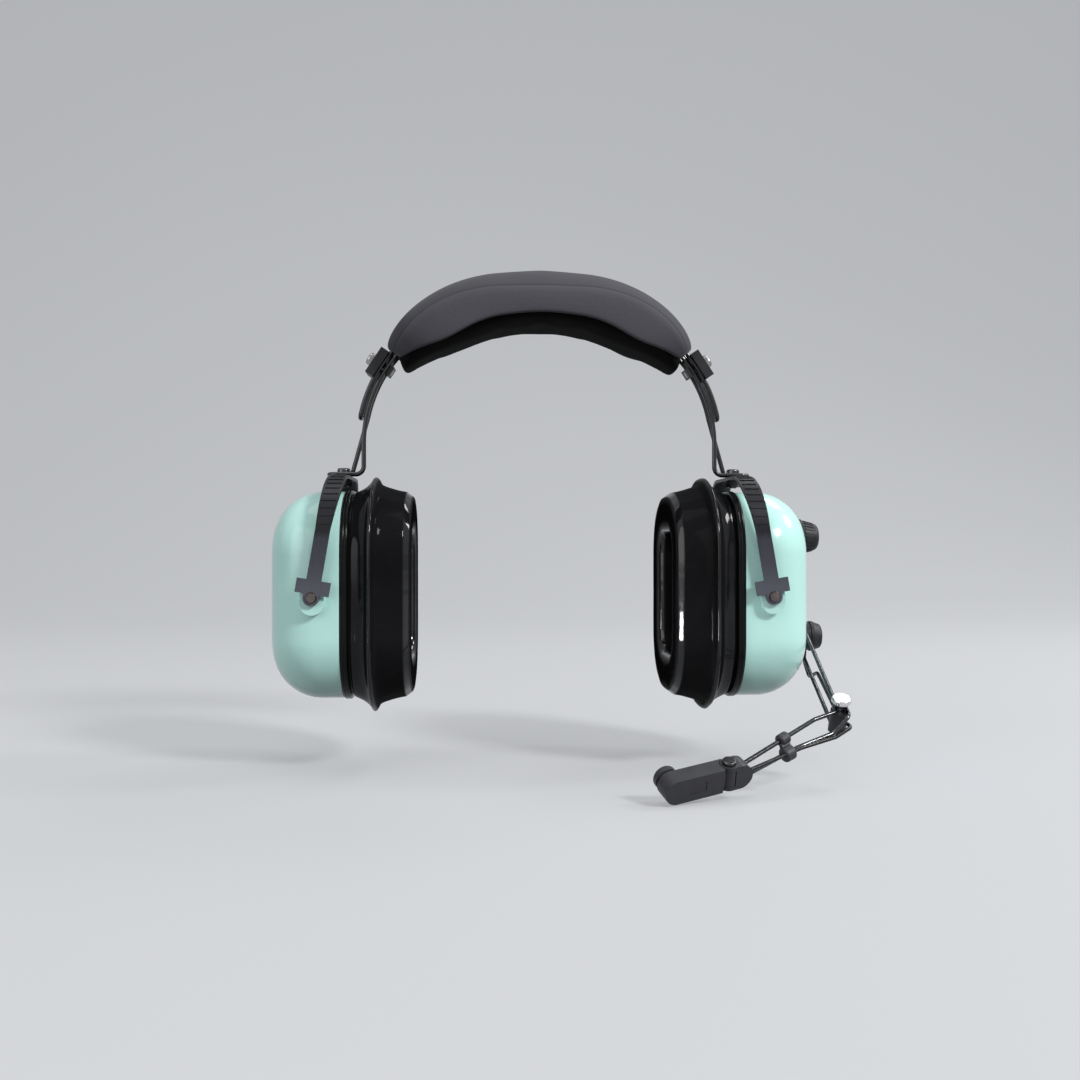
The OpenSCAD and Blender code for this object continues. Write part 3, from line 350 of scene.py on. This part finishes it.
def fill(piece, seams, cap_mm):
    before = [v.co.copy() for v in piece.data.vertices]
    pins = piece.vertex_groups.new(name="seams")
    pins.add(seams, 1.0, "REPLACE")
    cloth = piece.modifiers.new("cloth", "CLOTH")
    piece.modifiers.move(len(piece.modifiers) - 1, 0)
    work = cloth.settings
    work.vertex_group_mass = "seams"
    work.use_pressure, work.uniform_pressure_force = True, PRESSURE
    work.tension_stiffness = work.compression_stiffness = 12
    work.bending_stiffness, work.mass = 0.6, 0.2
    work.effector_weights.gravity = 0
    scene = bpy.context.scene
    for number in range(1, FRAMES + 1):
        scene.frame_set(number)
    filled = piece.evaluated_get(bpy.context.evaluated_depsgraph_get()).data
    moved = [filled.vertices[i].co.copy() for i in range(len(before))]
    piece.modifiers.remove(cloth)
    scene.frame_set(1)
    most = 0
    for vertex, old, new in zip(piece.data.vertices, before, moved):
        way = new - old
        length = way.length
        if length > cap_mm / 1000:
            way *= cap_mm / 1000 / length
        most = max(most, way.length)
        vertex.co = old + way
    print(piece.name, "filled by up to", round(1000 * most, 2), "mm")


# %% [markdown]
# ## Pad cloth
# The pad's cover is a dark grey plain weave. Two sets of waves at right angles give the threads, a fine
# noise breaks them up, and a slower one fades the colour as wear does. A little sheen makes the rim of the
# pad light up as cloth does. The crown's panel is coloured darker than the sides, as painted shade on
# the crown. The underside is a plain black knit, which takes the light far less.

# %% Weave finishes
def weave(name, shade, pitch, depth, sheen, crown=1.0):
    made = Finish(name, Sheen_Weight=sheen, Sheen_Roughness=0.5, Roughness=0.9)
    made.set("Specular IOR Level", 0.06)
    warp, weft = [made.node("ShaderNodeTexWave", {"bands_direction": way},
                            {"Vector": made.place, "Scale": 1 / pitch, "Distortion": 0.6}, "Fac")
                  for way in "XY"]
    threads = warp * 0.5 + weft * 0.5
    fuzz = made.noise(1500, 3)
    worn = made.noise(22, 4)
    tone = worn * 0.45 + fuzz * 0.45 + threads * 0.1
    panel = made.node("ShaderNodeAttribute", {"attribute_name": "crown_panel"}, {}, "Fac")
    # With crown below 1, the crown panel's colour is darker: painted shade.
    sides, top = [made.blend(tone, tuple(0.72 * k * c for c in shade), tuple(1.3 * k * c for c in shade))
                  for k in (1, crown)]
    made.set("Base Color", made.blend(panel, sides, top))
    made.bump(threads * 0.3 + fuzz, depth, 0.5)
    print(name, "has", len(made.tree.nodes), "nodes")
    return made


# The crown panel is coloured 0.66 times as dark as the sides, a painted shade.
pad_cloth = weave("pad_cloth", (0.081, 0.08, 0.093), 0.0010, 0.08, 0.1, 0.66)
pad_knit = weave("pad_knit", (0.004, 0.004, 0.004), 0.003, 0.1, 0.0)

# %% [markdown]
# ## The pad's line
# The pad follows the headband: straight over the crown, then round an arc on each side. A place on it is a
# distance along this line, a distance across it and a height over it. Its width, crown and belly are short
# formulas of the distance along, the same ones that a sewing pattern would be drawn from.

# %% The headband's line, in millimetres
SPRING_R, CROWN_HALF, RISE, PAD_END = 70, 20, 10, 40.5
RUN = CROWN_HALF + SPRING_R * math.radians(90 - PAD_END)
SPLIT, CHANNEL = 4.4, 1.5


def on_pad(t, across, up, lean=0.0):
    along = abs(t) * RUN + lean
    turn = math.radians(90) - max(0, along - CROWN_HALF) / SPRING_R
    if along < CROWN_HALF:
        x, z = along, RISE + up
    else:
        x = CROWN_HALF + (SPRING_R + up) * math.cos(turn)
        z = RISE - SPRING_R + (SPRING_R + up) * math.sin(turn)
    return (math.copysign(x, t), across, z)


print("pad line", round(2 * RUN), "mm long, from tip to tip")

# %% The pad's width, crown and belly, from tip (-1) to tip (1)
TIP_HALF, WIDENS = 10.75, 19.25
CLOTH, CROWN_UP, CROWN_FALLS = 1, 13.2, 0.66
RIM_TIP, BELLY_TIP = 1.2, 2.2
DROOP_AT, DROOP_WIDE = 0.72, 0.24


def pad_half(t): return TIP_HALF + WIDENS * math.sqrt(1 - abs(t) ** 4.5)


def pad_crown(t):
    return CHANNEL + CLOTH + CROWN_UP * (1 - CROWN_FALLS * abs(t) ** 1.3) * math.sqrt(1 - abs(t) ** 9)


def droop(t):
    """How much further the cover and the cushion hang near the pad's tips, as a share of the most."""
    return math.exp(-((abs(t) - DROOP_AT) / DROOP_WIDE) ** 2)


def pad_belly(t):
    swell = 2.4 + 4.4 * math.sin(math.pi * t) ** 2 + 1.8 * droop(t)
    return SPLIT + BELLY_TIP + (RISE - SPLIT - BELLY_TIP + swell) * math.sqrt(1 - t ** 50)


def pad_rim(t):
    swell = 3.6 * math.sin(math.pi * t) ** 2 - 1.5 * t ** 2 + 4.4 * droop(t)
    return SPLIT + RIM_TIP + (RISE - SPLIT - BELLY_TIP + swell) * math.sqrt(1 - t ** 18)


print("pad", round(2 * pad_half(0)), "mm wide and", round(pad_crown(0) + pad_belly(0), 1), "mm thick")

# %% Places along the pad, closer together towards the tips
STATIONS = 97


def stations():
    turns = [math.radians(180 * i / (STATIONS - 1) - 90) for i in range(STATIONS)]
    return [math.sin(a) * (1 - 0.25 * math.cos(a) ** 2) for a in turns]


def tips(count):
    """The points of the two rings at each tip, and the two middle points that close the skin."""
    rows = (0, 1, STATIONS - 2, STATIONS - 1)
    return [i * count + j for i in rows for j in range(count)] + [STATIONS * count, STATIONS * count + 1]


lines = stations()
print(len(lines), "places along the pad")

# %% [markdown]
# ## The pad's cover
# The grey cover has a crown and two side panels, sewn together along a seam that runs from tip to tip. The
# crown is an arch and the sides stand nearly upright, so the cover turns by some 30 degrees at the seam,
# which is also a fine groove. Below, the cover turns under and meets the black underside.

# %% Make the pad's cover
CROWN_STEPS, SIDE_STEPS = 28, 9
SEAM_IN, SEAM_DOWN, SEAM_UP = 1.0, 1.8, 0.32
TURN_UNDER = 4


def seam_place(t):
    """The seam's distance across the pad and its height over the headband's line."""
    upright = 1 - abs(t) ** 8
    return pad_half(t) - SEAM_IN * upright, -SEAM_DOWN + (pad_crown(t) + SEAM_DOWN) * SEAM_UP * upright


def cover_ring(t):
    half, up, down = pad_half(t), pad_crown(t), pad_rim(t)
    seam_y, seam_z = seam_place(t)
    crown = []
    for k in range(CROWN_STEPS + 1):
        y = math.cos(math.pi * k / CROWN_STEPS)
        crown.append((seam_y * y, seam_z + (up - seam_z) * (1 - abs(y) ** 2.6)))
    side = [(-seam_y - 0.02, seam_z - 0.25)]
    for k in range(1, SIDE_STEPS + 1):
        z = seam_z - 0.6 - (seam_z + down - 1.1) * k / SIDE_STEPS
        bow_in = 1.0 * ((z + 1) / (seam_z + 1.4)) ** 2 if z > -1 else 1.2 * ((z + 1) / (down - 1)) ** 2
        side.append((-half + bow_in + 0.05, z))
    inner = half - TURN_UNDER
    side += [(-half + 1.7, -down), (-inner - 0.5, -down + 0.1), (-inner, -down + 0.6), (-inner, -SPLIT)]
    for k in (0, CROWN_STEPS):
        y, z = crown[k]
        crown[k] = (y - math.copysign(0.35, y), z - 0.3)
    under = [(-inner * 0.5, -SPLIT), (0, -SPLIT), (inner * 0.5, -SPLIT)]
    return crown + side + under + [(-y, z) for y, z in reversed(side)]


rings = [[on_pad(t, y, z) for y, z in cover_ring(t)] for t in lines]
pad_cover = skin("pad_cover_cloth", rings, False, pad_cloth)

# %% Fill the cover between its seams
count = len(rings[0])
below = CROWN_STEPS + SIDE_STEPS + 1
loose = [j for j in range(count)
         if 1 < j < CROWN_STEPS - 1 or CROWN_STEPS + 2 < j < below
         or count - below + CROWN_STEPS + 1 < j < count - 2]
held = [i * count + j for i in range(len(rings)) for j in range(count) if j not in loose]
fill(pad_cover, sorted(set(held + tips(count))), 0.7)
panel = pad_cover.data.attributes.new("crown_panel", "FLOAT", "FACE")
faces = range(len(pad_cover.data.polygons))
panel.data.foreach_set("value", [float(k % count < CROWN_STEPS) for k in faces])
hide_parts("pad_cover")
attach(pad_cover, "headband")
print(len(loose), "of", count, "points in a ring are free to move")

# %% [markdown]
# ## The pad's underside
# The black cushion under the cover fills out most at each side of the crown, where it holds the head, and
# thins to the tips. Its ends are cut square and lean out past the cover's tips.

# %% Make the cushion under the cover
ARC, TUCK, CUSHION_IN = 32, 0.4, 4.4
LEAN, LEAN_DEEP = 6, 7


def bow(a, power): return math.copysign(abs(math.cos(a)) ** power, math.cos(a))


def cushion_ring(t):
    half, top = pad_half(t) - CUSHION_IN, SPLIT + TUCK
    deep = pad_belly(t) - top - 0.5
    ring = []
    for k in range(ARC + 1):
        a = math.pi * k / ARC
        ring.append((-half * bow(a, 0.55), -top - deep * math.sin(a) ** 0.55))
    return ring + [(half * 0.6, -top), (0, -top), (-half * 0.6, -top)]


def lean_out(t, z):
    """How far the cushion runs on past the cover at a tip, most of all at its underside."""
    return LEAN * t ** 6 * min(1, (-z - SPLIT - TUCK) / LEAN_DEEP)


rings = [[on_pad(t, y, z, lean_out(t, z)) for y, z in cushion_ring(t)] for t in lines]
cushion = skin("head_cushion_knit", rings, False, pad_knit)

# %% Fill the cushion
count = len(rings[0])
held = [i * count + j for i in range(len(rings)) for j in range(count) if j < 3 or j > ARC - 3]
fill(cushion, sorted(set(held + tips(count))), 0.6)
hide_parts("head_cushion")
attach(cushion, "headband")
print(len(set(held)), "points of the cushion are held")

# %% [markdown]
# ## Seal vinyl
# An ear seal is foam in a thin black vinyl skin, heat sealed into shape. Its side is dull, but the bevel
# round its face, the lip and the neck are polished where the mould and the ear have pressed them. The
# polish is a ramp over the distance from the middle of the head, and it drives a clear coat. A second ramp
# over the same distance darkens the face, as painted shade. Fine scratches run round the side.

# %% Vinyl finish
vinyl = Finish("seal_vinyl", Coat_Roughness=0.08)
vinyl.set("Specular IOR Level", 0.0)
reach = vinyl.node("ShaderNodeMath", {"operation": "ABSOLUTE"}, {0: vinyl.along("X")}) * 10
polish = vinyl.ramp(reach, (0.6268, 0.0), (0.633, 0.9), (0.652, 0.9), (0.660, 0.05), (0.795, 0.05),
                    (0.803, 0.6), (0.813, 0.6), (0.825, 0.3), (0.9, 0.35))
# depth darkens the seal's face: painted shade, not the vinyl's own colour.
depth = vinyl.ramp(reach, (0.6262, 0.45), (0.64, 1.0))
grain = vinyl.cells(900, "SMOOTH_F1")
patches = vinyl.noise(60, 4)
scratches = vinyl.ramp(vinyl.noise(1500, 4, (0.06, 1, 1), 0.3), (0.6, 0.0), (0.7, 1.0))
shade = vinyl.blend(patches * 0.7 + scratches * 0.3, (0.005, 0.005, 0.0056), (0.0135, 0.0135, 0.015))
vinyl.set("Base Color", vinyl.blend(depth, (0.002, 0.002, 0.0022), shade))
vinyl.set("Roughness", patches * 0.2 + 0.28 + scratches * 0.1)
vinyl.set("Coat Weight", polish * (0.8 + patches * 0.4))
vinyl.bump(grain * 0.5 + vinyl.noise(300, 4), 0.05, 0.5)
print(vinyl.material.name, "has", len(vinyl.tree.nodes), "nodes")

# %% [markdown]
# ## Ear seals
# A seal's section is a rolled cushion that narrows towards the head, a thin lip that flares out, and a
# skirt that grips the ring behind it. The section is carried round the dome's outline: straight along the
# sides, and turned about a corner's centre in each corner. The left one is the right one's mirror image.

# %% The dome's outline and a cup's frame
CUP_Z, CORE_Y, CORE_Z, ARCH_FULL = -134, 10, 20, 20


def outline(corner_steps, long_steps, short_steps):
    """Places round the outline: a corner's centre, moved along the straights, and the way outwards."""
    found = []
    for i, (sy, sz) in enumerate(((1, 1), (-1, 1), (-1, -1), (1, -1))):
        for k in range(corner_steps):
            a = math.radians(90 * (i + k / corner_steps))
            found.append((sy * CORE_Y, sz * CORE_Z, a))
        a = math.radians(90 * (i + 1))
        ty, tz = ((-1, 1), (-1, -1), (1, -1), (1, 1))[i]
        steps = short_steps if i % 2 == 0 else long_steps
        for k in range(steps):
            part = k / steps
            found.append((CORE_Y * (sy + (ty - sy) * part), CORE_Z * (sz + (tz - sz) * part), a))
    return found


def in_cup(side, place, out, x, arch=0.0):
    """A point by its distance out from a place on the outline and from the middle of the head."""
    y, z, a = place
    y, z = y + out * math.cos(a), z + out * math.sin(a)
    z -= math.copysign(arch * math.sin(a) ** 2 * min(1, (y / ARCH_FULL) ** 2), z)
    return (side * x, y, CUP_Z + z)


path = outline(22, 26, 14)
print(len(path), "places round the outline")

# %% The seal's section
# Each point is (distance outwards, distance from the middle of the head), from the skirt's inside round the
# hole, the face, the bevelled edge, the side, the lip and the neck.
SEAL = [(9.5, 84.2), (9.5, 78), (9.35, 71), (9.5, 66.4), (10.2, 63.8), (12.1, 62.65), (15.5, 62.5),
        (20, 62.45), (24.2, 62.5), (27, 62.55), (27.75, 62.65), (28.05, 62.8), (30.1, 65.5), (30.3, 65.9),
        (30.4, 66.6), (30.9, 69.4), (31.9, 73), (33.1, 76.8), (33.9, 78.3), (35.2, 79.3), (36.6, 79.8),
        (37.4, 80.3), (37.55, 80.9), (37.1, 81.6), (35.6, 82.3), (33.8, 83.5), (32, 85.3), (30.8, 87.2),
        (30, 89), (29.6, 89.9), (28.9, 90.3), (27.9, 90.25), (27.4, 89.5), (27.35, 86.9), (27.1, 86.1),
        (22, 86.1), (15, 86.1), (10.5, 85.9)]
print(len(SEAL), "points in the section")


# %% Pucker the vinyl at its edges
def hump(v, middle, wide): return math.exp(-((v - middle) / wide) ** 2)


def pucker(side, index, out, x):
    """How far the skin draws in, in millimetres, at a place on the outline and in the section."""
    bevel = hump(x, 64.2, 1.5) * (hump(out, 29, 1.6) + 0.6 * hump(out, 10.5, 1.5))
    ripple = (noise.noise(Vector((index * 0.85, side * 9.0, 0.0)))
              + 0.6 * noise.noise(Vector((index * 0.31, side * 5.0, 3.0))))
    slack = noise.noise(Vector((index * 0.12, x * 0.16, side * 4.0)))
    return 0.16 * bevel * ripple + 0.06 * slack


# %% Make the ear seals
SKIRT, ARCH, ARCH_ENDS, HOLE = 85, 1.8, 86, 15
for side, word in ((1, "left"), (-1, "right")):
    rings = []
    for index, place in enumerate(path):
        ring = []
        for out, x in SEAL:
            draw = 0 if x > SKIRT else pucker(side, index, out, x)
            arch = ARCH * min(1, max(0, (ARCH_ENDS - x) / 4)) if out > HOLE else 0
            ring.append(in_cup(side, place, out - draw, x + 0.5 * draw, arch))
        rings.append(ring)
    seal = skin(word + "_seal_vinyl", rings, True, vinyl)
    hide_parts(word + "_ear_seal")
    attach(seal, word + "_cup")

# %% [markdown]
# ## Foam inside the cups
# Behind the seal's opening lies a thin sheet of open foam over the baffle, with a soft dip for the ear. A
# denser block damps the back of the dome. Both are cut foam, so their faces are rough and full of small
# pores. The pores' hollows are coloured darker than the foam round them, as painted shade.

# %% Foam finish
foam = Finish("open_foam", Roughness=0.95)
pores = foam.cells(1300)
# The pores' hollows are coloured darker: painted shade.
foam.set("Base Color", foam.ramp(pores, (0.1, (0.004, 0.004, 0.004)), (0.45, (0.028, 0.028, 0.03))))
foam.bump(pores, 0.35, 0.8)
print(foam.material.name, "has", len(foam.tree.nodes), "nodes")

# %% A liner's sheet
SHEET_OUT, SHEET_BACK, SHEET_FRONT, SHEET_DIP = 23.8, 92.3, 86.9, 2.2


def foam_sheet(name, side):
    """A sheet that fills the outline out to SHEET_OUT, from back to front, and sinks in its middle."""
    front, dip = SHEET_FRONT, SHEET_DIP
    section = ((1.0, SHEET_BACK), (1.0, (SHEET_BACK + front) / 2), (0.985, front + 0.25), (0.95, front),
               (0.8, front + 0.15 * dip), (0.55, front + 0.6 * dip), (0.25, front + 0.95 * dip),
               (0.001, front + dip), (0.001, SHEET_BACK))
    rings = [[in_cup(side, (y * part, z * part, a), SHEET_OUT * part, x) for part, x in section]
             for y, z, a in outline(10, 12, 7)]
    return skin(name, rings, True, foam)


print("the sheet is", round(SHEET_BACK - SHEET_FRONT, 1), "mm thick")

# %% Make the liners and the blocks
BLOCK_ROWS, BLOCK_TURN, BLOCK_SQUEEZE, SQUARE = 13, 24, 0.06, 0.3


def foam_block(name, corner, far):
    """A block with soft corners between two corners of its box, squeezed a little at both ends."""
    mid, half = (corner + far) / 2 * 1000, (far - corner) / 2 * 1000
    rings = []
    for k in range(BLOCK_ROWS):
        part = -1 + k / 6
        squeeze = 1 - BLOCK_SQUEEZE * part ** 8
        turns = [math.radians(15 * i) for i in range(BLOCK_TURN)]
        rings.append([(mid.x + half.x * part, mid.y + half.y * squeeze * bow(a, SQUARE),
                       mid.z + half.z * squeeze * bow(a - math.pi / 2, SQUARE)) for a in turns])
    return skin(name, rings, False, foam, 0)


for side, word in ((1, "left"), (-1, "right")):
    liner = foam_sheet(word + "_foam_sheet", side)
    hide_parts(word + "_foam_liner")
    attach(liner, word + "_cup")
    block = foam_block(word + "_foam_block", *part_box(word + "_acoustic_foam"))
    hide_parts(word + "_acoustic_foam")
    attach(block, word + "_cup")

# %% [markdown]
# ## Broken edges
# No moulded or stamped edge is knife sharp, and an edge that catches no light looks cut from paper. A
# small bevel on the edges that turn by more than 35 degrees rounds them without touching the model's size.

# %% Round the edges
SHARP = 35


def round_edges(width_mm, *names):
    for name in names:
        bevel = nodes[name].modifiers.new("broken_edge", "BEVEL")
        bevel.width, bevel.segments = width_mm / 1000, 2
        bevel.limit_method, bevel.angle_limit = "ANGLE", math.radians(SHARP)
        bevel.harden_normals = False
    print("rounded", len(names), "nodes by", width_mm, "mm")


round_edges(0.35, *both("clamp_block"))
round_edges(0.3, "mic_housing", "mic_cover", "mic_bracket", "wire_clip", "elbow_block")
round_edges(0.15, *both("stirrup", "clamp_bar"))

# %% [markdown]
# ## Studio
# The headset hangs over a pale floor that sweeps up into a backdrop, under soft light. To the camera, to
# reflections and through clear things the floor is half its lit colour and half a plain pale grey, so that
# it looks even from front to back and still keeps the headset's shadow. For light that bounces off it the
# floor is nearly black, so it throws little light up at the domes. A white floor would do the opposite,
# and fill in the shade under them.

# %% Floor and backdrop
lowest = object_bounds()[0][2]
PALE = (0.62, 0.635, 0.655, 1)
floor_finish = Finish("floor", Roughness=0.6)
floor_finish.set("Specular IOR Level", 0.1)


def seen(graph):
    """1 for the camera's rays, reflections and clear things, and 0 for light that falls on the object."""
    rays = [graph.node("ShaderNodeLightPath", {}, {}, f"Is {kind} Ray")
            for kind in ("Camera", "Glossy", "Transmission")]
    return rays[0] + rays[1] + rays[2]


shown = seen(floor_finish)
floor_finish.set("Base Color", floor_finish.blend(shown, (0.12, 0.122, 0.127), (0.56, 0.57, 0.59)))
glow = floor_finish.node("ShaderNodeEmission", {}, {"Color": PALE, "Strength": 1.0})
lit = Wire(floor_finish, floor_finish.shader.outputs[0])
shared = floor_finish.node("ShaderNodeMixShader", {}, {0: shown * 0.5, 1: lit, 2: glow})
floor_finish.feed(floor_finish.tree.nodes["Material Output"].inputs["Surface"], shared)
print("floor finish has", len(floor_finish.tree.nodes), "nodes")

# %% The floor's sweep, in metres
FRONT, ASIDE, BEND_AT, BEND_R, GAP = -8, 14, 1, 2, 0.0006
bends = [math.radians(7.5 * k) for k in range(13)]
profile = [(FRONT, 0)] + [(BEND_AT + BEND_R * math.sin(a), BEND_R - BEND_R * math.cos(a)) for a in bends]
profile += [(BEND_AT + BEND_R, 2 * BEND_R)]
mesh = bpy.data.meshes.new("floor")
mesh.from_pydata([(x, depth, lowest - GAP + rise) for depth, rise in profile for x in (-ASIDE, ASIDE)], [],
                 [(2 * i, 2 * i + 1, 2 * i + 3, 2 * i + 2) for i in range(len(profile) - 1)])
for face in mesh.polygons:
    face.use_smooth = True
mesh.materials.append(floor_finish.material)
floor = bpy.data.objects.new("floor", mesh)
bpy.context.collection.objects.link(floor)
print("floor at", round(1000 * lowest, 1), "mm")

# %% World
sky = Graph(bpy.context.scene.world or bpy.data.worlds.new("world"))
bpy.context.scene.world = sky.owner
sky.tree.nodes.clear()
light = sky.node("ShaderNodeBackground", {}, {"Color": (0.93, 0.96, 1, 1), "Strength": 0.26})
plain = sky.node("ShaderNodeBackground", {}, {"Color": PALE, "Strength": 1.0})
mixed = sky.node("ShaderNodeMixShader", {}, {0: seen(sky), 1: light, 2: plain})
sky.node("ShaderNodeOutputWorld", {}, {"Surface": mixed})
print("world nodes", len(sky.tree.nodes))

# %% [markdown]
# ## Lamps
# Large area lamps give black plastic and wire the long highlights that show their shape. The key stands at
# the left cup's side and the fill at the right cup's, the top and rim lamps draw the pad and the domes'
# upper edges, and the side lamp puts a soft spot on the left dome. The edge lamp is a narrow, faint beam
# at the left seal's bevel. A sun lamp would be simpler, but its highlights are small and hard.

# %% Hang the lamps
def lamp(name, place, aim, size, watts, spread=180):
    data = bpy.data.lights.new(name, "AREA")
    data.shape, data.size, data.size_y = "RECTANGLE", size[0], size[1]
    data.energy, data.spread = watts, math.radians(spread)
    made = bpy.data.objects.new(name, data)
    made.location = place
    made.rotation_euler = (Vector(aim) - Vector(place)).to_track_quat("-Z", "Y").to_euler()
    bpy.context.collection.objects.link(made)
    print(name, watts, "W")


lamp("key", (1.9, -1.7, 1.6), (0, 0, -0.1), (0.6, 0.5), 76)
lamp("fill", (-1.9, -1.7, 0.8), (0, 0, -0.1), (2.4, 2.4), 30)
lamp("top", (-0.2, -0.2, 2.2), (0, 0, -0.05), (1.8, 1.2), 11)
lamp("rim", (1.0, 0.9, 1.5), (0, 0, -0.1), (0.8, 0.5), 9)
lamp("side", (1.29, 0.14, 0.79), (0.09, -0.04, -0.1), (0.3, 0.3), 7)
lamp("edge", (-0.388, -0.253, -0.196), (0.064, -0.039, -0.154), (0.06, 0.03), 0.004, 12)
bpy.context.scene.view_settings.view_transform = "Standard"
